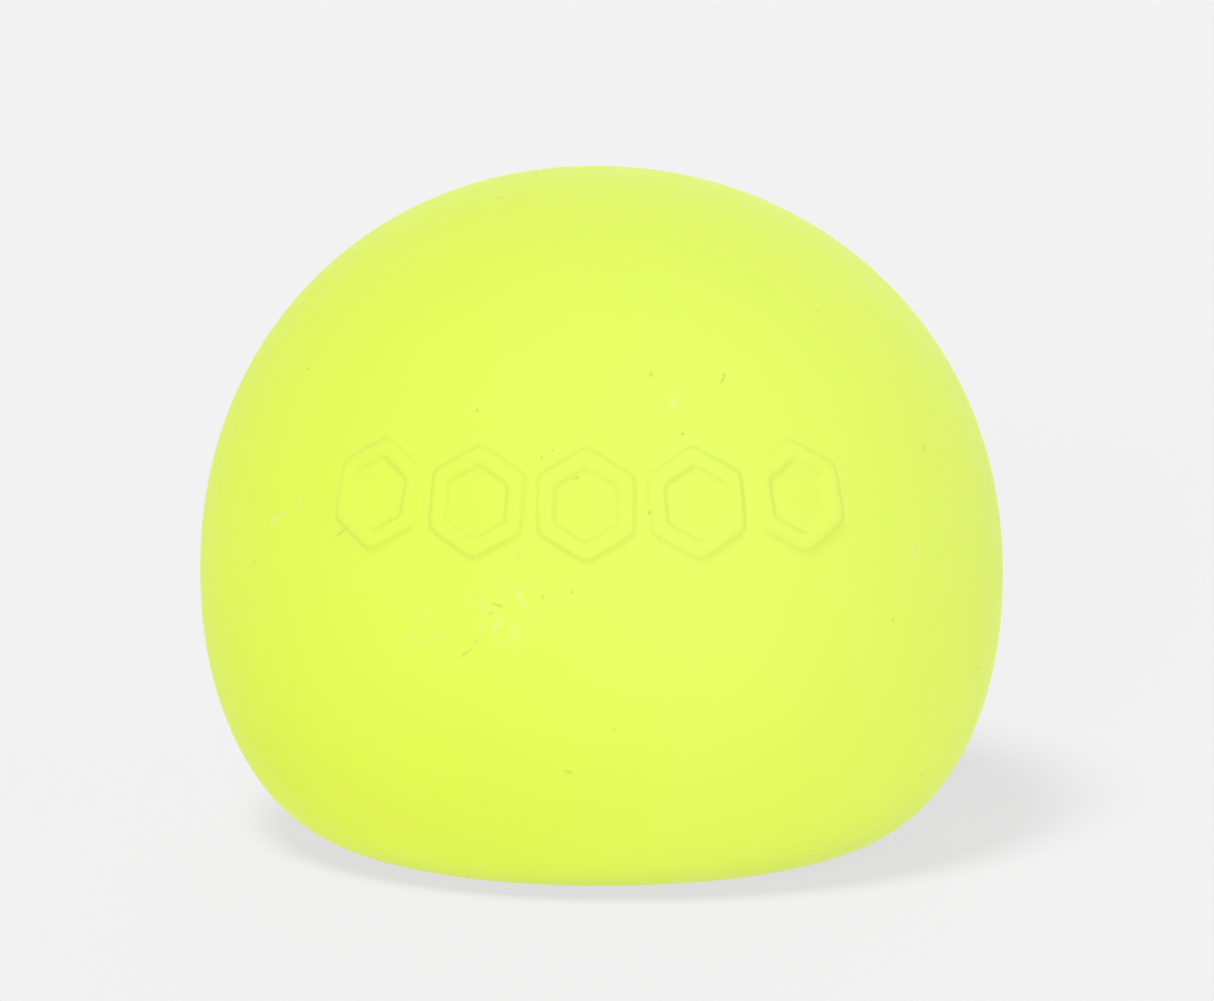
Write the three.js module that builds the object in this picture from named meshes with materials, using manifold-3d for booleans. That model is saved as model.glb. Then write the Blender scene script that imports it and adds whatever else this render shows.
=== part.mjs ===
// A palm-sized stress ball: a soft moulded skin, full of slow gel, that has slumped under its own weight.
//
// Units are millimetres and +Z is up. The origin is the centre of the flat foot, on the surface that the
// ball rests on. The raised ornament faces -Y.
import * as THREE from "three";
import { mergeVertices } from "three/addons/utils/BufferGeometryUtils.js";
import Module from "manifold-3d";

// The ball's outside
const WIDTH = 65; // across the belly
const HEIGHT = 54.5; // from the foot to the crown
const BELLY_HEIGHT = 21.5; // where the ball is widest
const FOOT_RADIUS = 19; // flat patch under the slumped ball
const FULLNESS = 2.1; // exponent of the section's curves: 2 gives ellipses, more gives boxier ones

// The skin
const WALL = 2.5;
const GAP = 0.3; // clearance between neighbouring pieces, and where the skin gives way at the belly
const BOSS_RADIUS = 9.5; // thicker ground round the fill hole
const BOSS_TOP = 5.5;
const BOSS_TAPER = 1.2;
const HOLE_RADIUS = 4;
const COUNTERBORE_RADIUS = 6.5;
const COUNTERBORE_DEPTH = 2.6;

// The raised ornament: a row of six-sided rings round the front
const RELIEF = 0.45; // how far it stands proud of the skin
const CELLS = 5;
const CELL_PITCH = THREE.MathUtils.degToRad(16); // round the ball, from one ring to the next
const CELL_RADIUS = 4.3; // to a ring's corners
const CELL_STROKE = 1.5; // width of a ring's band
const ORNAMENT_TURN = THREE.MathUtils.degToRad(-2); // middle of the row from the front, round the ball
const ORNAMENT_HEIGHT = 32.5; // middle of the row above the foot

// The plug and its seal
const PLUG_RECESS = 0.3; // keeps the flange off the table
const FLANGE_THICKNESS = 1.2;
const SEAL_THICKNESS = 0.5;
const BARB_RADIUS = 5.4;
const BARB_LENGTH = 2.5;
const BARB_TIP_RADIUS = 2.6;

// Fineness of the round shapes
const BALL_SEGMENTS = 64;
const SMALL_SEGMENTS = 40;
const LOWER_STEPS = 7;
const UPPER_STEPS = 11;
const MERGE_DISTANCE = 1e-4;

const BALL_RADIUS = WIDTH / 2;
const MATERIALS = {
  skin: { color: 0xe4f95c, roughness: 0.62, metalness: 0 },
  gel: { color: 0xd9e88a, roughness: 0.35, metalness: 0 },
  plug: { color: 0xcfe04e, roughness: 0.7, metalness: 0 },
  seal: { color: 0xf1f0e4, roughness: 0.25, metalness: 0 },
};

const wasm = await Module();
wasm.setup();

// A closed geometry as a solid that can be cut and joined.
function solidOf(geometry) {
  const bare = geometry.clone();
  bare.deleteAttribute("normal");
  bare.deleteAttribute("uv");
  const merged = mergeVertices(bare, MERGE_DISTANCE);
  return new wasm.Manifold(
    new wasm.Mesh({
      numProp: 3,
      vertProperties: merged.getAttribute("position").array,
      triVerts: new Uint32Array(merged.getIndex().array),
    }),
  );
}

// A named piece made from a solid.
function pieceOf(name, solid, finish) {
  const { vertProperties, triVerts } = solid.getMesh();
  const geometry = new THREE.BufferGeometry();
  geometry.setAttribute("position", new THREE.BufferAttribute(vertProperties, 3));
  geometry.setIndex(new THREE.BufferAttribute(triVerts, 1));
  geometry.computeVertexNormals();
  const piece = new THREE.Mesh(geometry, new THREE.MeshStandardMaterial(finish));
  piece.name = name;
  return piece;
}

// The solid swept by a profile of [radius, height] points round the Z axis.
function turned(profile, segments) {
  const points = profile.map(([radius, height]) => new THREE.Vector2(radius, height));
  const geometry = new THREE.LatheGeometry(points, segments);
  geometry.rotateX(Math.PI / 2);
  return solidOf(geometry);
}

// Points of a superellipse round a centre on the section, from one angle to another.
function fullCurve(centre, reach, from, to, steps) {
  const swell = (x) => Math.sign(x) * Math.abs(x) ** (2 / FULLNESS);
  return Array.from({ length: steps + 1 }, (_, step) => {
    const angle = from + ((to - from) * step) / steps;
    return [
      centre[0] + reach[0] * swell(Math.cos(angle)),
      centre[1] + reach[1] * swell(Math.sin(angle)),
    ];
  });
}

// The slumped ball as a solid, with its whole surface moved inwards by inset.
function ball(inset) {
  const quarter = Math.PI / 2;
  const lower = fullCurve(
    [FOOT_RADIUS, BELLY_HEIGHT],
    [BALL_RADIUS - FOOT_RADIUS - inset, BELLY_HEIGHT - inset],
    -quarter,
    0,
    LOWER_STEPS,
  );
  const upper = fullCurve(
    [0, BELLY_HEIGHT],
    [BALL_RADIUS - inset, HEIGHT - BELLY_HEIGHT - inset],
    0,
    quarter,
    UPPER_STEPS,
  );
  upper[UPPER_STEPS][0] = 0; // the crown lies on the axis
  return turned([[0, inset], ...lower, ...upper.slice(1)], BALL_SEGMENTS);
}

// A disc or cylinder from one height to another.
function cylinder(radius, bottom, top) {
  return turned([[0, bottom], [radius, bottom], [radius, top], [0, top]], SMALL_SEGMENTS);
}

// Everything between two heights.
function slab(bottom, top) {
  const box = new THREE.BoxGeometry(2 * WIDTH, 2 * WIDTH, top - bottom);
  box.translate(0, 0, (bottom + top) / 2);
  return solidOf(box);
}

// A hexagon's outline with a corner at the top.
function hexagon(radius, Outline) {
  const corners = Array.from({ length: 6 }, (_, corner) => {
    const angle = Math.PI / 2 + (corner * Math.PI) / 3;
    return new THREE.Vector2(radius * Math.cos(angle), radius * Math.sin(angle));
  });
  return new Outline(corners);
}

// One ring of the ornament: a six-sided band that runs outwards through the wall, turned round the ball.
function ornamentRing(turn) {
  const root = BALL_RADIUS - 3 * WALL; // well inside the wall
  const band = hexagon(CELL_RADIUS, THREE.Shape);
  band.holes.push(hexagon(CELL_RADIUS - CELL_STROKE, THREE.Path));
  const geometry = new THREE.ExtrudeGeometry(band, {
    depth: BALL_RADIUS + RELIEF - root,
    bevelEnabled: false,
  });
  geometry.rotateX(Math.PI / 2);
  geometry.translate(0, -root, ORNAMENT_HEIGHT);
  geometry.rotateZ(turn);
  return solidOf(geometry);
}

// The thicker ground inside the foot, which tapers in towards its top.
function fillBoss(clearance) {
  const radius = BOSS_RADIUS + clearance;
  const top = BOSS_TOP + clearance;
  const rim = radius - BOSS_TAPER;
  return turned(
    [[0, WALL / 2], [radius, WALL / 2], [radius, WALL], [rim, top], [0, top]],
    SMALL_SEGMENTS,
  );
}

// The one-piece skin: shell, ornament, boss and stepped fill hole.
function moulding() {
  const proudBall = ball(-RELIEF);
  let skin = ball(0);
  for (let cell = 0; cell < CELLS; cell += 1) {
    const turn = ORNAMENT_TURN + (cell - (CELLS - 1) / 2) * CELL_PITCH;
    skin = skin.add(ornamentRing(turn).intersect(proudBall));
  }
  return skin
    .subtract(ball(WALL))
    .add(fillBoss(0))
    .subtract(cylinder(HOLE_RADIUS, -WALL, BOSS_TOP + WALL))
    .subtract(cylinder(COUNTERBORE_RADIUS, -WALL, COUNTERBORE_DEPTH));
}

// The skin below the belly: it stays on the table while the ball is pressed.
function skinBase(skin) {
  const below = slab(-HEIGHT, BELLY_HEIGHT - GAP / 2);
  return pieceOf("skin_base", skin.intersect(below), MATERIALS.skin);
}

// The skin above the belly, with the ornament: it comes down when the ball is pressed.
function skinCrown(skin) {
  const above = slab(BELLY_HEIGHT + GAP / 2, 2 * HEIGHT);
  return pieceOf("skin_crown", skin.intersect(above), MATERIALS.skin);
}

// The stopper: a flange in the counterbore, a shank through the hole and a barb that locks behind the boss.
function fillPlug() {
  const flangeTop = PLUG_RECESS + FLANGE_THICKNESS;
  const shankTop = BOSS_TOP + GAP;
  const flangeRadius = COUNTERBORE_RADIUS - GAP;
  const shankRadius = HOLE_RADIUS - GAP;
  const plug = turned(
    [
      [0, PLUG_RECESS],
      [flangeRadius, PLUG_RECESS],
      [flangeRadius, flangeTop],
      [shankRadius, flangeTop],
      [shankRadius, shankTop],
      [BARB_RADIUS, shankTop],
      [BARB_TIP_RADIUS, shankTop + BARB_LENGTH],
      [0, shankTop + BARB_LENGTH],
    ],
    SMALL_SEGMENTS,
  );
  return pieceOf("fill_plug", plug, MATERIALS.plug);
}

// The ring of cured adhesive between the plug's flange and the floor of the counterbore.
function sealRing() {
  const bottom = PLUG_RECESS + FLANGE_THICKNESS + GAP;
  const top = bottom + SEAL_THICKNESS;
  const inner = HOLE_RADIUS;
  const outer = COUNTERBORE_RADIUS - GAP;
  const ring = turned(
    [[inner, bottom], [outer, bottom], [outer, top], [inner, top], [inner, bottom]],
    SMALL_SEGMENTS,
  );
  return pieceOf("seal_ring", ring, MATERIALS.seal);
}

// The gel, which fills the skin and closes round the boss and the plug's barb.
function gelFilling() {
  const barbTop = BOSS_TOP + GAP + BARB_LENGTH;
  const gel = ball(WALL + GAP)
    .subtract(fillBoss(GAP))
    .subtract(cylinder(BARB_RADIUS + GAP, 0, barbTop + GAP));
  return pieceOf("gel_filling", gel, MATERIALS.gel);
}

const skin = moulding();
const stressBall = new THREE.Group();
stressBall.name = "stress_ball";
stressBall.add(skinBase(skin), skinCrown(skin), gelFilling(), fillPlug(), sealRing());

export default stressBall;
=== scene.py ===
"""A palm-sized stress ball, slumped on a pale table: a soft moulded skin, full of slow gel.

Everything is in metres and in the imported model's frame: +Z is up, the origin is under the middle of the
flat foot, and the raised ornament faces -Y. Azimuths start at -Y and grow towards +X.
"""

import math

import bmesh
import bpy
import numpy as np
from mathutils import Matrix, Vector


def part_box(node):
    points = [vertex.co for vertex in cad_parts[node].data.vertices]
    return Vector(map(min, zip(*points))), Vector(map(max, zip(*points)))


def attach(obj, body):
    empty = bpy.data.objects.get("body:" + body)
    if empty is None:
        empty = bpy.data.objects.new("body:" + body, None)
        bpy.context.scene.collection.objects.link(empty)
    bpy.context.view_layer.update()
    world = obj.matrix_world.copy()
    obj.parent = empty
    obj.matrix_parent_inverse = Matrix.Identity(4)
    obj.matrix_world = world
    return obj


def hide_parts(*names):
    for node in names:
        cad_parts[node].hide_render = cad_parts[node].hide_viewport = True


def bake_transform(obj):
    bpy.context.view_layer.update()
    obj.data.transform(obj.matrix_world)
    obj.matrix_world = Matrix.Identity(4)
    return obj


MM = 0.001

# The names of what a mesh holds for each of its points
REST_PLACE = "rest_place"  # where it is at rest
# the skin's material paints shade along the crease
CREASE = "crease"  # how far it lies in the edge of something raised, from 0 to 1

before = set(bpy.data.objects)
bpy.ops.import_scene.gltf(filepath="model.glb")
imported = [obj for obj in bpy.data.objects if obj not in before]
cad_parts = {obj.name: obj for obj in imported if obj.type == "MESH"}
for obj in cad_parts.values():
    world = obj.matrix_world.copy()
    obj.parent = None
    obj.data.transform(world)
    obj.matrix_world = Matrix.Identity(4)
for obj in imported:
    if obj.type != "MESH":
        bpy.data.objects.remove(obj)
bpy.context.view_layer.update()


# ---- Sizes that the frame gives ----

def ring_radii(node, height):
    """Smallest and largest distance from the axis of a CAD node's vertices at a height."""
    tolerance = 0.01 * MM
    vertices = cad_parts[node].data.vertices
    radii = [v.co.xy.length for v in vertices if abs(v.co.z - height) < tolerance]
    return min(radii), max(radii)


BASE_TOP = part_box("skin_base")[1].z
CROWN_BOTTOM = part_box("skin_crown")[0].z
SEAL_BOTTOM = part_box("seal_ring")[0].z
SEAL_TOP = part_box("seal_ring")[1].z
PLUG_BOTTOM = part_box("fill_plug")[0].z
PLUG_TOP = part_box("fill_plug")[1].z

BALL_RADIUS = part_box("skin_crown")[1].x
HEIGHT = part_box("skin_crown")[1].z
BELLY_HEIGHT = (BASE_TOP + CROWN_BOTTOM) / 2
CROWN_RISE = HEIGHT - BELLY_HEIGHT
GAP = CROWN_BOTTOM - BASE_TOP
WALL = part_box("gel_filling")[0].z - GAP
COUNTERBORE_RADIUS, FOOT_RADIUS = ring_radii("skin_base", 0)
BELLY_OVERHANG = BALL_RADIUS - FOOT_RADIUS
COUNTERBORE_DEPTH = SEAL_TOP + GAP
HOLE_RADIUS = ring_radii("skin_base", COUNTERBORE_DEPTH)[0]
BOSS_RADIUS = ring_radii("skin_base", WALL)[0]
FLANGE_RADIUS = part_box("fill_plug")[1].x
FLANGE_TOP = SEAL_BOTTOM - GAP
SHANK_RADIUS = HOLE_RADIUS - GAP
BARB_TIP_RADIUS = ring_radii("fill_plug", PLUG_TOP)[1]
SEAL_RADII = ring_radii("seal_ring", SEAL_TOP)

# The boss stands as high as the highest vertex on the wall of the hole.
BOSS_TOP = max(
    v.co.z
    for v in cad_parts["skin_base"].data.vertices
    if v.co.xy.length < HOLE_RADIUS + GAP
)
BOSS_RIM = ring_radii("skin_base", BOSS_TOP)[1]
BARB_RADIUS = ring_radii("fill_plug", BOSS_TOP + GAP)[1]

# ---- Sizes of the design that the frame doesn't give ----

FULLNESS = 2.1  # exponent of the section's curves: 2 gives ellipses, more gives boxier ones
RELIEF = 0.45 * MM  # how far the ornament stands proud
CELLS = 5
CELL_PITCH = math.radians(16)
CELL_RADIUS = 4.3 * MM  # to a ring's corners
CELL_STROKE = 1.5 * MM
ORNAMENT_TURN = math.radians(-2)
ORNAMENT_HEIGHT = 32.5 * MM
EDGE_WIDTH = 0.6 * MM  # of the soft slope along each side of a ring's band
BAND_CROWN = 1.06  # height of the middle of a band, against its sides
CORNER_SHARPNESS = 20  # exponent of the hexagon: more gives sharper corners
PATCH_HALF_HEIGHT = 5.4 * MM  # of the fine mesh round each ring

# How far the soft ball departs from a true round
UNEVENNESS = 0.13 * MM
WAVES = 7
WAVE_RATES = (2.2, 5.0)  # slowest and fastest wave, in radians for each radius of the ball
WAVE_SEED = 115
LEAN = 0.49 * MM  # of the crown, towards -X
SETTLED_BELOW = 6 * MM  # the foot and the boss stay true
SETTLED_ABOVE = 16 * MM

# How the ball gives as the crown comes down
STILL_BELOW = PLUG_TOP + GAP  # near the axis, the boss and the plug hold the ball still up to here
STILL_RADIUS = BOSS_RADIUS + GAP
FREE_RADIUS = BALL_RADIUS - 3 * WALL  # from here outwards nothing holds the ball still
LOOSENING = 16 * MM  # height above the plug over which the middle is freed to spread
SOFT_START = 0.2  # share of the height over which the middle starts to give
FLATTENING = 0.35  # share of the travel that flattens the top, rather than the whole height evenly
SPREAD = 0.9  # sideways growth at the belly, against what would keep a cylinder's volume
END_SPREAD = 0.8  # the same at the foot and the crown, as a share of the belly's

# Marks on the skin, most of them left by handling, and one dark streak of painted shade: [azimuth, height] of
# the start and the end, in degrees and
# # millimetres, and the width in millimetres
DARK_MARKS = [
    ((9, 42), (9, 42), 0.5),
    ((21, 41.3), (22, 41.8), 0.3),
    ((49, 45.5), (49, 45.5), 0.4),
    ((58, 34.5), (58, 34.5), 0.5),
    ((-8.8, 36), (-8.8, 36), 0.4),
    ((-7, 36.6), (-7, 36.6), 0.35),
    # this streak is painted shade: the dark edge that a raised stroke shades, not a mark on the skin
    ((-4.6, 34.5), (-3.2, 34.6), 0.3),
    ((-15.1, 36), (-15.1, 36), 0.3),
    ((-11.5, 28.6), (-11.5, 28.6), 0.3),
    ((-5, 11.5), (-4.5, 11.5), 0.45),
    ((-8, 25.5), (-8, 25.5), 0.35),
    ((-4, 26), (-4, 26), 0.4),
    ((-15, 24.9), (-13.9, 24.7), 0.3),
    ((-15.2, 24.2), (-15.2, 24.2), 0.4),
    ((-19.5, 20.6), (-17.3, 21.9), 0.2),
    ((-58, 25.5), (-58, 25.5), 0.4),
    ((-40.6, 28.8), (-39.2, 29.5), 0.35),
]
PALE_MARKS = [
    ((-55, 28.2), (-54.6, 29.1), 0.4),
    ((-54.6, 29.1), (-51.5, 30), 0.4),
    ((-49, 30.5), (-49, 31), 0.4),
    ((-11.5, 25.6), (-10.8, 25.4), 0.5),
    ((-13.8, 23.6), (-14.6, 23.1), 0.5),
    ((12, 39.8), (12, 40.3), 0.45),
    ((35, 34), (36, 34.4), 0.5),
    ((50, 26.6), (50, 27.6), 0.5),
]
SCUFFS = [  # place, radius in millimetres, strength
    ((-13.5, 24.3), 4.0, 1.0),
    ((-24, 21.8), 4.0, 0.6),
    ((150, 30), 5.0, 0.6),
]
SPECK_PITCH = 5  # in millimetres, between the cells that may hold a speck of dust
SPECK_WIDTH = 0.4  # in millimetres
WAVER = 0.6 * MM  # how far noise moves the outline of a mark
WAVER_SCALE = 2000  # waves of that noise per metre

# The camera and the table
VIEW_ELEVATION = math.radians(10)
VIEW_DISTANCE = 0.70
VIEW_WIDTH = 3.029 * BALL_RADIUS  # what the picture spans at the ball
SENSOR_WIDTH = 36  # in millimetres
NEAREST_SEEN = 0.05
AIM = Vector((0.36 * MM, 0, HEIGHT / 2 + 0.25 * MM))
TABLE_REACH = 6  # from the middle of the table to its edges

# Fineness of the meshes
CELL_COLUMNS = 32  # round the ball, for each ring of the ornament
BAND_ROWS = 40  # up the ball, along the ornament
BACK_COLUMNS = 140  # round the rest of the ball
CORE_COLUMNS = 128  # round the gel
SMALL_COLUMNS = 96  # round the plug and the seal
JOIN_DISTANCE = 0.001 * MM  # points nearer than this are one
SHARP_ANGLE = math.radians(50)  # between faces: more than this makes a hard edge


# ---- Shapes ----

def smoothstep(x):
    x = np.clip(x, 0, 1)
    return x * x * (3 - 2 * x)


def swell(x):
    return np.sign(x) * np.abs(x) ** (2 / FULLNESS)


def lower_curve(inset, steps):
    """[radius, height] points from the edge of the foot up to the belly."""
    angles = np.linspace(-math.pi / 2, 0, steps + 1)
    radii = FOOT_RADIUS + (BELLY_OVERHANG - inset) * swell(np.cos(angles))
    heights = BELLY_HEIGHT + (BELLY_HEIGHT - inset) * swell(np.sin(angles))
    radii[0] = FOOT_RADIUS
    return np.column_stack([radii, heights])


def upper_curve(inset, start, end, steps):
    """[radius, height] points from one angle above the belly to another; the crown is at a right angle."""
    angles = np.linspace(start, end, steps + 1)
    radii = (BALL_RADIUS - inset) * swell(np.cos(angles))
    heights = BELLY_HEIGHT + (CROWN_RISE - inset) * swell(np.sin(angles))
    radii[np.isclose(angles, math.pi / 2)] = 0
    return np.column_stack([radii, heights])


def angle_at(height):
    """The angle above the belly at which the outside of the skin reaches a height."""
    share = (height - BELLY_HEIGHT) / CROWN_RISE
    return math.asin(share ** (FULLNESS / 2))


def skin_radius(height):
    """Radius of the outside of the skin at heights above the belly."""
    share = (height - BELLY_HEIGHT) / CROWN_RISE
    return BALL_RADIUS * (1 - share ** FULLNESS) ** (1 / FULLNESS)


def skin_normal(height):
    """The outward normal's radial and vertical parts, at heights above the belly."""
    radial = (skin_radius(height) / BALL_RADIUS) ** (FULLNESS - 1) / BALL_RADIUS
    vertical = ((height - BELLY_HEIGHT) / CROWN_RISE) ** (FULLNESS - 1) / CROWN_RISE
    length = np.hypot(radial, vertical)
    return radial / length, vertical / length


def rounded(profile, radius, steps=4):
    """The profile with a curve of about that radius at each inner corner. Its two ends stay."""
    most = 0.4  # of a side that a curve may take
    profile = [np.array(point, float) for point in profile]
    points = [profile[0]]
    for before, corner, after in zip(profile, profile[1:], profile[2:]):
        back = before - corner
        ahead = after - corner
        back_length = np.linalg.norm(back)
        ahead_length = np.linalg.norm(ahead)
        reach = min(radius, most * back_length, most * ahead_length)
        start = corner + back / back_length * reach
        end = corner + ahead / ahead_length * reach
        for t in np.linspace(0, 1, steps + 1):
            points.append((1 - t) ** 2 * start + 2 * t * (1 - t) * corner + t ** 2 * end)
    points.append(profile[-1])
    return np.array(points)


def around(azimuths, radii, heights):
    """Points at azimuths, radii and heights."""
    azimuths, radii, heights = np.broadcast_arrays(azimuths, radii, heights)
    return np.stack([radii * np.sin(azimuths), -radii * np.cos(azimuths), heights], axis=-1)


def keep_rest_place(mesh):
    """Stores where each point is at rest. The press starts from there, and the materials' patterns lie on
    it, so that they stretch with the skin."""
    places = [coordinate for vertex in mesh.vertices for coordinate in vertex.co]
    mesh.attributes.new(REST_PLACE, "FLOAT_VECTOR", "POINT").data.foreach_set("vector", places)


class Surface:
    """Collects grids of points as faces. Points that meet are joined when the mesh is made."""

    def __init__(self):
        self.points = []
        self.creases = []
        self.faces = []
        self.count = 0

    def add_grid(self, grid, left_out=None, crease=0.0):
        """Adds rows of points as quads. left_out(row, column) says which quads to leave open, and crease
        says how far each row lies in the edge of something raised, from 0 to 1."""
        rows, columns = grid.shape[:2]
        number = self.count + np.arange(rows * columns).reshape(rows, columns)
        for row in range(rows - 1):
            for column in range(columns - 1):
                if left_out is not None and left_out(row, column):
                    continue
                quad = number[row : row + 2, column : column + 2]
                self.faces.append((quad[0, 0], quad[0, 1], quad[1, 1], quad[1, 0]))
        self.points.append(grid.reshape(-1, 3))
        self.creases.append(np.broadcast_to(crease, (columns, rows)).T.ravel())
        self.count += rows * columns

    def make(self, name, deform=None):
        """One closed mesh object, smooth, with its faces outwards."""
        points = np.concatenate(self.points)
        if deform is not None:
            points = deform(points)
        mesh = bpy.data.meshes.new(name)
        mesh.from_pydata(points.tolist(), [], [tuple(map(int, face)) for face in self.faces])
        creases = mesh.attributes.new(CREASE, "FLOAT", "POINT")
        creases.data.foreach_set("value", np.concatenate(self.creases))
        shape = bmesh.new()
        shape.from_mesh(mesh)
        bmesh.ops.remove_doubles(shape, verts=shape.verts, dist=JOIN_DISTANCE)
        bmesh.ops.recalc_face_normals(shape, faces=shape.faces)
        shape.to_mesh(mesh)
        shape.free()
        mesh.shade_smooth()
        mesh.set_sharp_from_angle(angle=SHARP_ANGLE)
        keep_rest_place(mesh)
        piece = bpy.data.objects.new(name, mesh)
        bpy.context.scene.collection.objects.link(piece)
        return piece


def turned(name, profile, columns, deform=None):
    """The solid that a [radius, height] profile sweeps round the axis."""
    azimuths = np.linspace(0, 2 * math.pi, columns + 1)
    surface = Surface()
    surface.add_grid(around(azimuths[None, :], profile[:, :1], profile[:, 1:]))
    return surface.make(name, deform)


# ---- The slumped shape ----

def long_waves(directions):
    """A smooth unevenness over the ball, from about -1 to 1: a few long waves in fixed directions."""
    random = np.random.default_rng(WAVE_SEED)
    waves = random.normal(size=(WAVES, 3))
    waves *= (random.uniform(*WAVE_RATES, WAVES) / np.linalg.norm(waves, axis=1))[:, None]
    phases = random.uniform(0, 2 * math.pi, WAVES)
    return np.sin(directions @ waves.T + phases).sum(axis=1) / math.sqrt(2 * WAVES)


def settled(points):
    """Moves points from the true round to where the soft ball has slumped to."""
    outwards = points - np.array([0, 0, BELLY_HEIGHT])
    outwards /= np.linalg.norm(outwards, axis=1)[:, None]
    height = points[:, 2]
    share = smoothstep((height - SETTLED_BELOW) / (SETTLED_ABOVE - SETTLED_BELOW))
    moved = points + outwards * (UNEVENNESS * share * long_waves(outwards))[:, None]
    moved[:, 0] -= LEAN * (height / HEIGHT) ** 2 * share
    return moved


# ---- The skin ----

def skin_azimuths():
    """Azimuths of the skin's mesh: close together along the ornament, wider round the back."""
    half = CELLS * CELL_PITCH / 2
    front = np.linspace(-half, half, CELLS * CELL_COLUMNS + 1)
    back = np.linspace(half, 2 * math.pi - half, BACK_COLUMNS + 1)
    return ORNAMENT_TURN + np.concatenate([front, back[1:]])


def fill_hole_profile():
    """From the foot, through the counterbore, the hole and over the boss, to the inner floor."""
    last_of_foot = COUNTERBORE_RADIUS + 1.2 * MM
    first_of_floor = BOSS_RADIUS + 3 * MM
    return rounded(
        [
            (last_of_foot, 0),
            (COUNTERBORE_RADIUS, 0),
            (COUNTERBORE_RADIUS, COUNTERBORE_DEPTH),
            (HOLE_RADIUS, COUNTERBORE_DEPTH),
            (HOLE_RADIUS, BOSS_TOP),
            (BOSS_RIM, BOSS_TOP),
            (BOSS_RADIUS, WALL),
            (first_of_floor, WALL),
        ],
        radius=0.35 * MM,
    )


def skin_profile():
    """The skin's section, from the crown down the outside, through the fill hole and up the inside to the
    crown, and the numbers of the first and last row of the ornament's band."""
    band_low = ORNAMENT_HEIGHT - PATCH_HALF_HEIGHT
    band_high = ORNAMENT_HEIGHT + PATCH_HALF_HEIGHT
    above = upper_curve(0, math.pi / 2, angle_at(band_high), steps=30)
    heights = np.linspace(band_high, band_low, BAND_ROWS + 1)
    band = np.column_stack([skin_radius(heights), heights])
    below = upper_curve(0, angle_at(band_low), 0, steps=8)
    under = lower_curve(0, steps=26)[::-1]
    foot = [(FOOT_RADIUS - inwards, 0) for inwards in (4 * MM, 8 * MM)]
    inside = [lower_curve(WALL, steps=16), upper_curve(WALL, 0, math.pi / 2, steps=28)[1:]]
    rows = [above, band[1:], below[1:], under[1:], foot, fill_hole_profile(), *inside]
    first = len(above) - 1
    return np.concatenate(rows), first, first + BAND_ROWS


def hexagon_reach(angles, apothem):
    """Distance from a hexagon's centre to its outline, with its corners softened and one of them up."""
    sides = np.array([0, 1, 2]) * math.pi / 3
    gauge = (np.abs(np.cos(angles[:, None] - sides)) ** CORNER_SHARPNESS).sum(axis=1)
    return apothem / gauge ** (1 / CORNER_SHARPNESS)


def ring_levels():
    """[apothem, rise, crease] of each outline from the middle of a ring to the ground outside its band."""
    to_side = math.cos(math.pi / 6)
    inner = (CELL_RADIUS - CELL_STROKE) * to_side
    outer = CELL_RADIUS * to_side
    slope = [(t, RELIEF * smoothstep(t), math.sin(math.pi * t) ** 2) for t in np.linspace(0, 1, 7)]
    levels = [(share * inner, 0, 0) for share in (0, 0.4, 0.75)]
    levels += [(inner + (t - 0.5) * EDGE_WIDTH, rise, crease) for t, rise, crease in slope]
    levels += [((inner + outer) / 2, BAND_CROWN * RELIEF, 0)]
    levels += [(outer + (0.5 - t) * EDGE_WIDTH, rise, crease) for t, rise, crease in slope[::-1]]
    return levels


def patch_outline():
    """(azimuth, height) points round one ring's rectangle of mesh, from its lower left corner."""
    half = CELL_PITCH / 2
    across = np.linspace(-half, half, CELL_COLUMNS + 1)
    up = np.linspace(-PATCH_HALF_HEIGHT, PATCH_HALF_HEIGHT, BAND_ROWS + 1)
    sides = [
        np.column_stack([across, np.full_like(across, up[0])])[:-1],
        np.column_stack([np.full_like(up, half), up])[:-1],
        np.column_stack([across[::-1], np.full_like(across, up[-1])])[:-1],
        np.column_stack([np.full_like(up, -half), up[::-1]]),
    ]
    return np.concatenate(sides)


def ring_patch(turn):
    """Rows of points on the skin, from the middle of one raised ring out to its rectangle, and how far
    each row lies in the edge of the ring's band."""
    outline = patch_outline()
    heights = ORNAMENT_HEIGHT + outline[:, 1]
    border = np.column_stack([skin_radius(heights) * np.sin(outline[:, 0]), outline[:, 1]])
    angles = np.arctan2(border[:, 1], border[:, 0])
    rays = np.column_stack([np.cos(angles), np.sin(angles)])
    rows = []
    for apothem, rise, crease in ring_levels():
        rows.append((rays * hexagon_reach(angles, apothem)[:, None], rise, crease))
    ground = rows[-1][0]
    for share in (0.25, 0.6, 1):
        rows.append((ground + (border - ground) * share, 0, 0))
    points = np.array([on_skin(flat, rise, turn) for flat, rise, _ in rows])
    return points, [crease for _, _, crease in rows]


def on_skin(flat, rise, turn):
    """Points of a ring's flat drawing, laid on the skin and raised off it."""
    heights = ORNAMENT_HEIGHT + flat[:, 1]
    radii = skin_radius(heights)
    azimuths = turn + np.arcsin(flat[:, 0] / radii)
    radial, vertical = skin_normal(heights)
    return around(azimuths, radii + rise * radial, heights + rise * vertical)


def make_skin():
    """The whole skin as one closed mesh, with the raised rings on its front and the fill hole in its foot."""
    profile, first, last = skin_profile()
    azimuths = skin_azimuths()
    surface = Surface()
    surface.add_grid(
        around(azimuths[None, :], profile[:, :1], profile[:, 1:]),
        left_out=lambda row, column: first <= row < last and column < CELLS * CELL_COLUMNS,
    )
    for cell in range(CELLS):
        points, creases = ring_patch(ORNAMENT_TURN + (cell - (CELLS - 1) / 2) * CELL_PITCH)
        surface.add_grid(points, crease=creases)
    return surface.make("soft_skin", settled)


# ---- The gel, the plug and the seal ----

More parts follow.
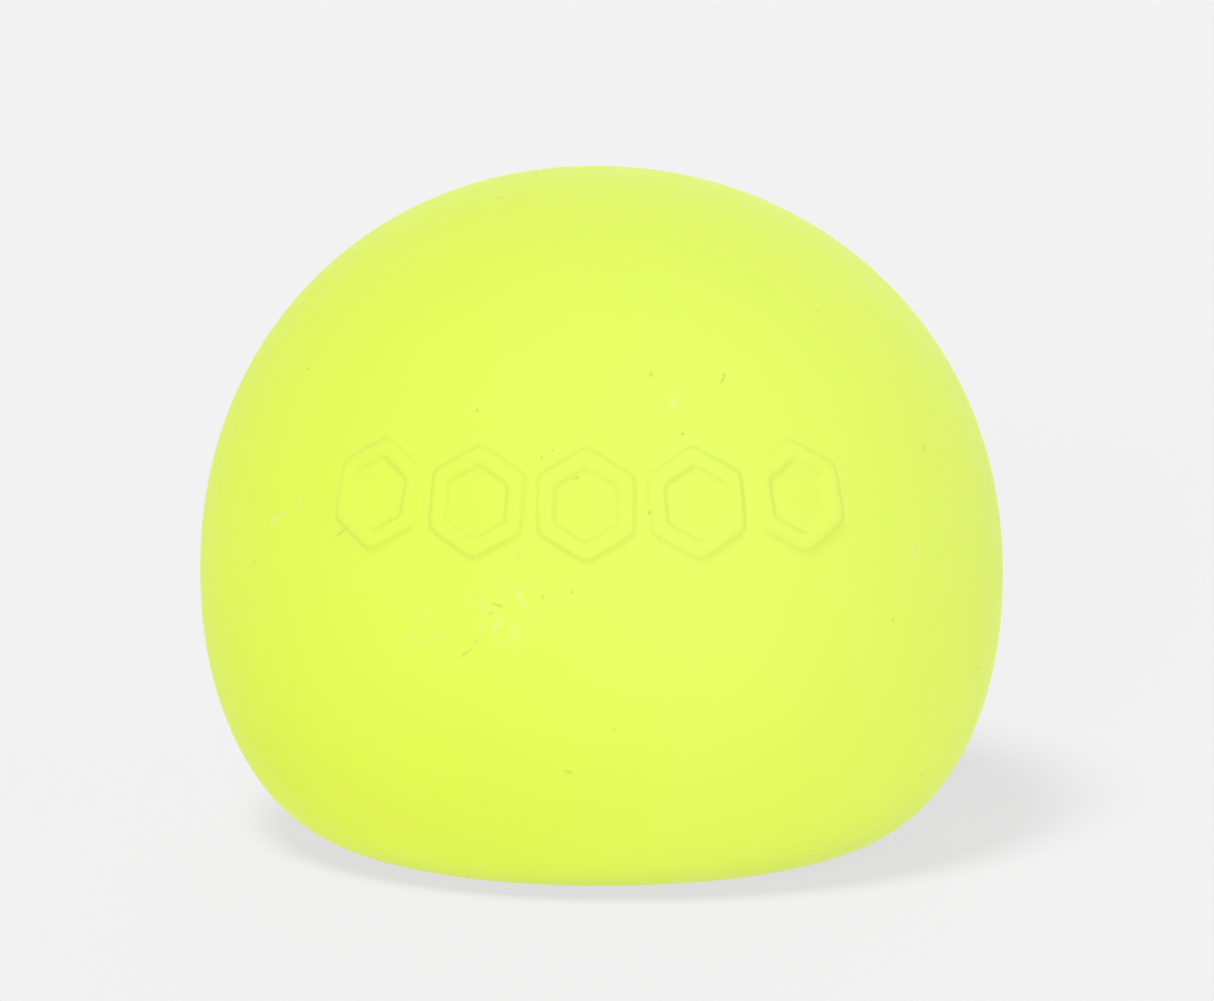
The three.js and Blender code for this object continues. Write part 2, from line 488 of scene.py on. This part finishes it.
def make_core():
    """The gel, closed round the boss and the plug's barb."""
    inset = WALL + GAP
    pocket = BARB_RADIUS + GAP
    last_of_floor = FOOT_RADIUS - 3 * MM
    hollow = rounded(
        [
            (0, PLUG_TOP + GAP),
            (pocket, PLUG_TOP + GAP),
            (pocket, BOSS_TOP + GAP),
            (BOSS_RIM + GAP, BOSS_TOP + GAP),
            (BOSS_RADIUS + GAP, inset),
            (last_of_floor, inset),
        ],
        radius=0.5 * MM,
    )
    outside = [lower_curve(inset, steps=20), upper_curve(inset, 0, math.pi / 2, steps=32)[1:]]
    return turned("gel_core", np.concatenate([hollow, *outside]), CORE_COLUMNS, settled)


def make_plug():
    """The stopper: a flange with a moulded dimple and groove, a shank, and a barb."""
    dimple_depth = 0.35 * MM
    dimple_radii = (0.9 * MM, 1.3 * MM)  # at its top and at the flange's face
    groove_radius = 0.55 * FLANGE_RADIUS
    groove_depth = 0.25 * MM
    groove_half_width = 0.35 * MM
    profile = rounded(
        [
            (0, PLUG_BOTTOM + dimple_depth),
            (dimple_radii[0], PLUG_BOTTOM + dimple_depth),
            (dimple_radii[1], PLUG_BOTTOM),
            (groove_radius - groove_half_width, PLUG_BOTTOM),
            (groove_radius, PLUG_BOTTOM + groove_depth),
            (groove_radius + groove_half_width, PLUG_BOTTOM),
            (FLANGE_RADIUS, PLUG_BOTTOM),
            (FLANGE_RADIUS, FLANGE_TOP),
            (SHANK_RADIUS, FLANGE_TOP),
            (SHANK_RADIUS, BOSS_TOP + GAP),
            (BARB_RADIUS, BOSS_TOP + GAP),
            (BARB_TIP_RADIUS, PLUG_TOP),
            (0, PLUG_TOP),
        ],
        radius=0.3 * MM,
    )
    return turned("barbed_plug", profile, SMALL_COLUMNS)


def make_seal():
    """The cured bead of adhesive: a flat ring with round edges that wander a little."""
    inner, outer = SEAL_RADII
    middle = (inner + outer) / 2
    profile = rounded(
        [
            (middle, SEAL_BOTTOM),
            (outer, SEAL_BOTTOM),
            (outer, SEAL_TOP),
            (inner, SEAL_TOP),
            (inner, SEAL_BOTTOM),
            (middle, SEAL_BOTTOM),
        ],
        radius=0.22 * MM,
    )
    waves = [(1, 3, 0.7), (0.6, 7, 0), (0.4, 11, 2)]  # size, count round the ring, phase
    drawn_in = 0.06  # share of their radius by which the bead's two sides draw in to its middle

    def wandering(points):
        azimuths = np.arctan2(points[:, 1], points[:, 0])
        wave = sum(size * np.sin(count * azimuths + phase) for size, count, phase in waves)
        from_middle = np.hypot(points[:, 0], points[:, 1]) - middle
        shrink = 1 - drawn_in * (1 + wave / 2) * from_middle / (outer - middle)
        return points * np.column_stack([shrink, shrink, np.ones_like(shrink)])

    return turned("seal_bead", profile, SMALL_COLUMNS, wandering)


# ---- Nodes, for the press and the materials ----

def feed(tree, socket, value):
    """Links a value that comes from a node, or sets one that doesn't."""
    if isinstance(value, bpy.types.NodeSocket):
        tree.links.new(value, socket)
    else:
        socket.default_value = value


def add_node(tree, kind, operation=None, **inputs):
    """A node whose inputs are given by name, with _ for each space."""
    made = tree.nodes.new(kind)
    if operation:
        made.operation = operation
    for name, value in inputs.items():
        feed(tree, made.inputs[name.replace("_", " ")], value)
    return made


def maths(tree, operation, *values):
    made = add_node(tree, "ShaderNodeMath", operation)
    for socket, value in zip(made.inputs, values):
        feed(tree, socket, value)
    return made.outputs[0]


def vector_maths(tree, operation, *values, output="Vector", **inputs):
    made = add_node(tree, "ShaderNodeVectorMath", operation, **inputs)
    for socket, value in zip(made.inputs, values):
        feed(tree, socket, value)
    return made.outputs[output]


def mapped(tree, value, first, last, low, high):
    """The value, mapped so that it goes from low to high as it goes from first to last."""
    ends = {"From_Min": first, "From_Max": last, "To_Min": low, "To_Max": high}
    made = add_node(tree, "ShaderNodeMapRange", Value=value, **ends)
    return made.outputs[0]


def smooth_rise(tree, value, first, last):
    """Goes smoothly from 0 to 1 as the value goes from first to last."""
    made = add_node(tree, "ShaderNodeMapRange", Value=value, From_Min=first, From_Max=last)
    made.interpolation_type = "SMOOTHSTEP"
    return made.outputs[0]


def between(tree, share, first, second):
    """A value that goes from the first to the second as share goes from 0 to 1."""
    change = maths(tree, "MULTIPLY", share, maths(tree, "SUBTRACT", second, first))
    return maths(tree, "ADD", first, change)


# ---- How the ball gives when it is pressed ----

def press_travel(tree, piece, entry):
    """How far the top of the piece has come down."""
    rest_top = max(vertex.co.z for vertex in piece.data.vertices)
    box = add_node(tree, "GeometryNodeBoundBox", Geometry=entry)
    top = add_node(tree, "ShaderNodeSeparateXYZ", Vector=box.outputs["Max"]).outputs["Z"]
    return maths(tree, "SUBTRACT", rest_top, top)


def press_drop(tree, travel, height, free):
    """How far each point comes down. Near the axis everything up to the top of the plug stays where it is;
    where the ball is free only the foot does."""
    even = maths(tree, "DIVIDE", height, HEIGHT)
    flattened = between(tree, FLATTENING, even, maths(tree, "POWER", even, 4))
    above = maths(tree, "MAXIMUM", maths(tree, "SUBTRACT", height, STILL_BELOW), 0)
    share = maths(tree, "DIVIDE", above, HEIGHT - STILL_BELOW)
    squares = maths(tree, "ADD", maths(tree, "MULTIPLY", share, share), SOFT_START ** 2)
    softened = maths(tree, "SUBTRACT", maths(tree, "SQRT", squares), SOFT_START)
    still = maths(tree, "DIVIDE", softened, math.sqrt(1 + SOFT_START ** 2) - SOFT_START)
    return maths(tree, "MULTIPLY", travel, between(tree, free, still, flattened))


def press_spread(tree, travel, height, free):
    """What each point's distance from the axis is multiplied by."""
    even = maths(tree, "DIVIDE", height, HEIGHT)
    to_crown = maths(tree, "SUBTRACT", 1, even)
    belly = maths(tree, "MULTIPLY", maths(tree, "MULTIPLY", even, to_crown), 4)
    pressed_height = maths(tree, "SUBTRACT", HEIGHT, travel)
    growth = maths(tree, "SQRT", maths(tree, "DIVIDE", HEIGHT, pressed_height))
    strength = maths(tree, "MULTIPLY", maths(tree, "SUBTRACT", growth, 1), SPREAD)
    above_plug = smooth_rise(tree, height, STILL_BELOW, STILL_BELOW + LOOSENING)
    loose = between(tree, free, above_plug, 1)
    profile = maths(tree, "MULTIPLY", loose, between(tree, belly, END_SPREAD, 1))
    return maths(tree, "ADD", maths(tree, "MULTIPLY", strength, profile), 1)


def add_press(piece):
    """A modifier that flattens and spreads the piece as far as its top has come down. Round the plug it
    stays as it is; elsewhere it flattens, most at the top, and spreads, so that it keeps its volume. With
    the top at rest the modifier does nothing."""
    tree = bpy.data.node_groups.new(piece.name + "_press", "GeometryNodeTree")
    for way in ("INPUT", "OUTPUT"):
        tree.interface.new_socket("Geometry", in_out=way, socket_type="NodeSocketGeometry")
    entry = add_node(tree, "NodeGroupInput").outputs[0]
    travel = press_travel(tree, piece, entry)

    position = add_node(tree, "GeometryNodeInputPosition").outputs[0]
    place = add_node(tree, "ShaderNodeSeparateXYZ", Vector=position).outputs
    flat = add_node(tree, "ShaderNodeCombineXYZ", X=place["X"], Y=place["Y"]).outputs[0]
    radius = vector_maths(tree, "LENGTH", flat, output="Value")
    free = smooth_rise(tree, radius, STILL_RADIUS, FREE_RADIUS)

    at_rest = add_node(tree, "GeometryNodeInputNamedAttribute", Name=REST_PLACE)
    at_rest.data_type = "FLOAT_VECTOR"
    height = add_node(tree, "ShaderNodeSeparateXYZ", Vector=at_rest.outputs["Attribute"]).outputs["Z"]

    spread = press_spread(tree, travel, height, free)
    pressed = add_node(
        tree,
        "ShaderNodeCombineXYZ",
        X=maths(tree, "MULTIPLY", place["X"], spread),
        Y=maths(tree, "MULTIPLY", place["Y"], spread),
        Z=maths(tree, "SUBTRACT", height, press_drop(tree, travel, height, free)),
    )
    move = add_node(tree, "GeometryNodeSetPosition", Geometry=entry, Position=pressed.outputs[0])
    add_node(tree, "NodeGroupOutput", Geometry=move.outputs[0])
    piece.modifiers.new("press", "NODES").node_group = tree


# ---- Patterns and marks of the materials ----

def kept(tree, name, output="Fac"):
    """The value of an attribute that the mesh holds."""
    made = add_node(tree, "ShaderNodeAttribute")
    made.attribute_name = name
    return made.outputs[output]


def rest_place(tree):
    return kept(tree, REST_PLACE, "Vector")


def noise(tree, scale, detail=2, roughness=0.5):
    """Noise through the piece at rest, with scale in waves per metre."""
    place = rest_place(tree)
    made = add_node(tree, "ShaderNodeTexNoise", Vector=place, Scale=scale, Detail=detail, Roughness=roughness)
    return made.outputs["Fac"]


def spread_over(tree, value, low, high):
    """Noise, mapped from its usual range to run from low to high."""
    return mapped(tree, value, 0.3, 0.7, low, high)


def mixed(tree, share, first, second):
    """A colour that goes from the first to the second as share goes from 0 to 1."""
    made = add_node(tree, "ShaderNodeMix")
    made.data_type = "RGBA"
    feed(tree, made.inputs["Factor"], share)
    for name, colour in (("A", first), ("B", second)):
        socket = [s for s in made.inputs if s.name == name and s.type == "RGBA"][0]
        feed(tree, socket, (*colour, 1) if isinstance(colour, tuple) else colour)
    return [s for s in made.outputs if s.type == "RGBA"][0]


def covered(tree, under, cover, strength, colour):
    """The colour under, with another over it as far as cover, from 0 to 1, times strength."""
    return mixed(tree, maths(tree, "MULTIPLY", cover, strength), under, colour)


def skin_point(azimuth, height):
    """The point of the settled skin at an azimuth in degrees and a height in millimetres."""
    height *= MM
    if height < BELLY_HEIGHT:
        share = (BELLY_HEIGHT - height) / BELLY_HEIGHT
        radius = FOOT_RADIUS + BELLY_OVERHANG * (1 - share ** FULLNESS) ** (1 / FULLNESS)
    else:
        radius = skin_radius(height)
    return settled(around(math.radians(azimuth), radius, height)[None])[0]


def wavering_place(tree):
    """The place at rest, shaken a little, so that no mark is quite straight or round."""
    made = add_node(tree, "ShaderNodeTexNoise", Vector=rest_place(tree), Scale=WAVER_SCALE)
    shake = vector_maths(tree, "SUBTRACT", made.outputs["Color"], (0.5, 0.5, 0.5))
    return vector_maths(tree, "MULTIPLY_ADD", shake, (WAVER,) * 3, rest_place(tree))


def streak(tree, start, end, width):
    """1 along a short mark on the skin between two [azimuth, height] places, in degrees and millimetres,
    fading to 0 just past half its width to either side. A speck starts and ends at one place."""
    first = skin_point(*start)
    run = skin_point(*end) - first
    from_first = vector_maths(tree, "SUBTRACT", wavering_place(tree), first)
    if start == end:
        away = vector_maths(tree, "LENGTH", from_first, output="Value")
    else:
        share = vector_maths(tree, "DOT_PRODUCT", from_first, run / (run @ run), output="Value")
        along = maths(tree, "MAXIMUM", maths(tree, "MINIMUM", share, 1), 0)
        nearest = vector_maths(tree, "SCALE", run, Scale=along)
        away = vector_maths(tree, "DISTANCE", from_first, nearest, output="Value")
    return mapped(tree, away, 0, 0.55 * width * MM, 1, 0)


def marks(tree, places):
    """1 on any of the [start, end, width] marks, and 0 between them."""
    total = streak(tree, *places[0])
    for place in places[1:]:
        total = maths(tree, "MAXIMUM", total, streak(tree, *place))
    return total


def scattered_specks(tree):
    """1 on small specks of dust here and there, and 0 between them."""
    made = add_node(tree, "ShaderNodeTexVoronoi", Vector=rest_place(tree), Scale=1 / (SPECK_PITCH * MM))
    size = SPECK_WIDTH / 2 / SPECK_PITCH
    return mapped(tree, made.outputs["Distance"], 0.4 * size, size, 1, 0)


def scuffs(tree):
    """How far the skin is rubbed pale, in broken strokes, around a few places."""
    total = 0
    for place, radius, strength in SCUFFS:
        away = vector_maths(tree, "DISTANCE", rest_place(tree), skin_point(*place), output="Value")
        near = mapped(tree, away, 0.3 * radius * MM, radius * MM, strength, 0)
        total = maths(tree, "MAXIMUM", total, near)
    strokes = mapped(tree, noise(tree, 1500, 3, 0.6), 0.52, 0.66, 0, 1)
    return maths(tree, "MULTIPLY", total, strokes)


def painted_sheen_share(tree):
    """How far the skin is painted paler, from 0 to 1, as a painted sheen: more towards +X and up the ball,
    and least round the foot.
    """
    sideways = vector_maths(tree, "DOT_PRODUCT", rest_place(tree), (1, 0, 0), output="Value")
    upwards = vector_maths(tree, "DOT_PRODUCT", rest_place(tree), (0, 0, 1), output="Value")
    to_side = mapped(tree, sideways, -BALL_RADIUS, 0.2 * BALL_RADIUS, 0, 0.5)
    to_top = mapped(tree, upwards, 0, 1.2 * BELLY_HEIGHT, 0, 0.5)
    return maths(tree, "ADD", to_side, to_top)


# ---- Materials, with their colours in linear light ----

def new_material(name):
    material = bpy.data.materials.new(name)
    material.use_nodes = True
    tree = material.node_tree
    return material, tree, tree.nodes["Principled BSDF"]


def finish(tree, shader, colour, roughness, grain, depth):
    """Gives a shader its colour, its roughness, and the bump of a grain whose full depth is in metres."""
    bump = add_node(tree, "ShaderNodeBump", Height=grain, Distance=depth)
    feed(tree, shader.inputs["Base Color"], colour)
    feed(tree, shader.inputs["Roughness"], roughness)
    feed(tree, shader.inputs["Normal"], bump.outputs[0])


def skin_material():
    """Matte soft-touch rubber in neon yellow-green, with painted shade along the ornament's edges, a painted
    pale sheen towards +X and up the ball, specks of dust, lint and scuffs from handling, and one dark streak
    of painted shade."""
    material, tree, shader = new_material("neon_soft_rubber")
    # Painted sheen: the colours go paler towards +X and up the ball
    painted_sheen = painted_sheen_share(tree)
    deep = mixed(tree, painted_sheen, (0.600, 0.748, 0.018), (0.618, 0.775, 0.090))
    pale = mixed(tree, painted_sheen, (0.622, 0.762, 0.026), (0.640, 0.790, 0.102))
    clean = mixed(tree, spread_over(tree, noise(tree, 28, 1), 0, 1), deep, pale)

    # Painted shade: the skin is darkened, unevenly by noise, along the edges of the ornament's rings where
    # the raised bands meet the skin
    crease_shade = spread_over(tree, noise(tree, 300, 1), 0, 0.14)
    # Specks of dust, with the one streak of painted shade among the dark marks
    dust_and_painted_shade = maths(tree, "MAXIMUM", marks(tree, DARK_MARKS), scattered_specks(tree))
    crease_shaded = covered(tree, clean, kept(tree, CREASE), crease_shade, (0.45, 0.60, 0.045))
    rubbed = covered(tree, crease_shaded, scuffs(tree), 0.4, (0.66, 0.74, 0.25))
    linty = covered(tree, rubbed, marks(tree, PALE_MARKS), 0.45, (0.66, 0.68, 0.36))
    dusty_and_shaded = covered(tree, linty, dust_and_painted_shade, 0.4, (0.25, 0.32, 0.05))

    roughness = spread_over(tree, noise(tree, 400, 3), 0.56, 0.66)
    finish(tree, shader, dusty_and_shaded, roughness, noise(tree, 9000), 0.006 * MM)
    shader.inputs["IOR"].default_value = 1.45
    shader.inputs["Specular IOR Level"].default_value = 0.3
    shader.inputs["Sheen Weight"].default_value = 0.06
    shader.inputs["Sheen Roughness"].default_value = 0.3
    return material


def gel_material():
    """Soft, cloudy gel."""
    material, tree, shader = new_material("cloudy_gel")
    cloud = spread_over(tree, noise(tree, 160, 4, 0.6), 0, 1)
    colour = mixed(tree, cloud, (0.58, 0.72, 0.16), (0.74, 0.84, 0.30))
    roughness = spread_over(tree, noise(tree, 700), 0.25, 0.4)
    finish(tree, shader, colour, roughness, noise(tree, 600, 3), 0.05 * MM)
    return material


def plug_material():
    """Harder, darker rubber than the skin's."""
    material, tree, shader = new_material("plug_rubber")
    patch = spread_over(tree, noise(tree, 500, 3), 0, 1)
    colour = mixed(tree, patch, (0.58, 0.72, 0.06), (0.66, 0.79, 0.10))
    roughness = spread_over(tree, noise(tree, 1500), 0.6, 0.75)
    finish(tree, shader, colour, roughness, noise(tree, 7000, 3), 0.01 * MM)
    return material


def seal_material():
    """Cured, slightly yellowed adhesive."""
    material, tree, shader = new_material("cured_adhesive")
    patch = spread_over(tree, noise(tree, 900, 3), 0, 1)
    colour = mixed(tree, patch, (0.86, 0.84, 0.72), (0.92, 0.91, 0.84))
    roughness = spread_over(tree, noise(tree, 1800), 0.15, 0.3)
    finish(tree, shader, colour, roughness, noise(tree, 1500), 0.03 * MM)
    return material


def floor_material():
    """Plain pale matte table."""
    material, tree, shader = new_material("pale_table")
    faint = spread_over(tree, noise(tree, 3), 0, 1)
    colour = mixed(tree, faint, (0.766, 0.766, 0.766), (0.771, 0.771, 0.771))
    feed(tree, shader.inputs["Base Color"], colour)
    shader.inputs["Roughness"].default_value = 0.9
    shader.inputs["Specular IOR Level"].default_value = 0.1
    return material


# ---- The studio ----

def add_camera():
    """A camera that looks slightly down at the middle of the ball."""
    camera = bpy.data.objects.new("camera", bpy.data.cameras.new("camera"))
    bpy.context.scene.collection.objects.link(camera)
    away = Vector((0, -math.cos(VIEW_ELEVATION), math.sin(VIEW_ELEVATION)))
    camera.location = AIM + away * VIEW_DISTANCE
    camera.rotation_euler = away.to_track_quat("Z", "Y").to_euler()
    camera.data.sensor_width = SENSOR_WIDTH
    camera.data.lens = SENSOR_WIDTH * VIEW_DISTANCE / VIEW_WIDTH
    camera.data.clip_start = NEAREST_SEEN
    bpy.context.scene.camera = camera


def add_sun(name, azimuth, elevation, strength, spread):
    """A broad, far light that comes from an azimuth and an elevation. All angles are in degrees."""
    light = bpy.data.lights.new(name, "SUN")
    light.energy = strength
    light.angle = math.radians(spread)
    sun = bpy.data.objects.new(name, light)
    bpy.context.scene.collection.objects.link(sun)
    turn, lift = math.radians(azimuth), math.radians(elevation)
    from_there = Vector(
        (math.sin(turn) * math.cos(lift), -math.cos(turn) * math.cos(lift), math.sin(lift))
    )
    sun.rotation_euler = from_there.to_track_quat("Z", "Y").to_euler()


def add_table_light(radiance):
    """The light that a wide white table throws up under the ball, from a disc that lies on the table."""
    radius = 10 * BALL_RADIUS
    light = bpy.data.lights.new("table_light", "AREA")
    light.shape = "DISK"
    light.size = 2 * radius
    light.energy = math.pi * math.pi * radius ** 2 * radiance
    disc = bpy.data.objects.new("table_light", light)
    bpy.context.scene.collection.objects.link(disc)
    disc.location.z = GAP
    disc.rotation_euler.x = math.pi
    disc.visible_camera = False


def add_world(strength):
    """Even white light from all round, as strong as the table looks, so that no horizon shows."""
    world = bpy.data.worlds.new("studio")
    world.use_nodes = True
    backdrop = world.node_tree.nodes["Background"]
    backdrop.inputs["Color"].default_value = (1, 1, 1, 1)
    backdrop.inputs["Strength"].default_value = strength
    bpy.context.scene.world = world


def add_floor():
    """The top of the table, so wide that its edges don't show."""
    mesh = bpy.data.meshes.new("table_top")
    reach = TABLE_REACH
    corners = [(-reach, -reach, 0), (reach, -reach, 0), (reach, reach, 0), (-reach, reach, 0)]
    mesh.from_pydata(corners, [], [(0, 1, 2, 3)])
    keep_rest_place(mesh)
    floor = bpy.data.objects.new("table_top", mesh)
    bpy.context.scene.collection.objects.link(floor)
    floor.data.materials.append(floor_material())


# ---- Putting it together ----

def dress(piece, slot, material, *nodes):
    """Gives a piece its material, and hides the CAD nodes that it stands for. The diffuse light that the
    table gathers passes through the piece, so the table stays a neutral white right up to it."""
    piece.data.materials.append(material)
    piece.visible_diffuse = False
    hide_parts(*nodes)


skin = make_skin()
dress(skin, "skin", skin_material(), "skin_base", "skin_crown")
core = make_core()
dress(core, "gel", gel_material(), "gel_filling")
plug = make_plug()
dress(plug, "plug", plug_material(), "fill_plug")
seal = make_seal()
dress(seal, "seal", seal_material(), "seal_ring")

for piece in (skin, core):
    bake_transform(piece)
    add_press(piece)
for piece in (plug, seal):
    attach(piece, "base")

add_camera()
add_world(0.885)
add_sun("key", azimuth=-28, elevation=60, strength=0.67, spread=19)
add_sun("front", azimuth=-8, elevation=4, strength=0.90, spread=34)
add_sun("right", azimuth=66, elevation=19, strength=0.24, spread=60)
add_sun("back", azimuth=170, elevation=8, strength=0.45, spread=60)
add_table_light(0.23)
add_floor()
bpy.context.scene.view_settings.view_transform = "Standard"
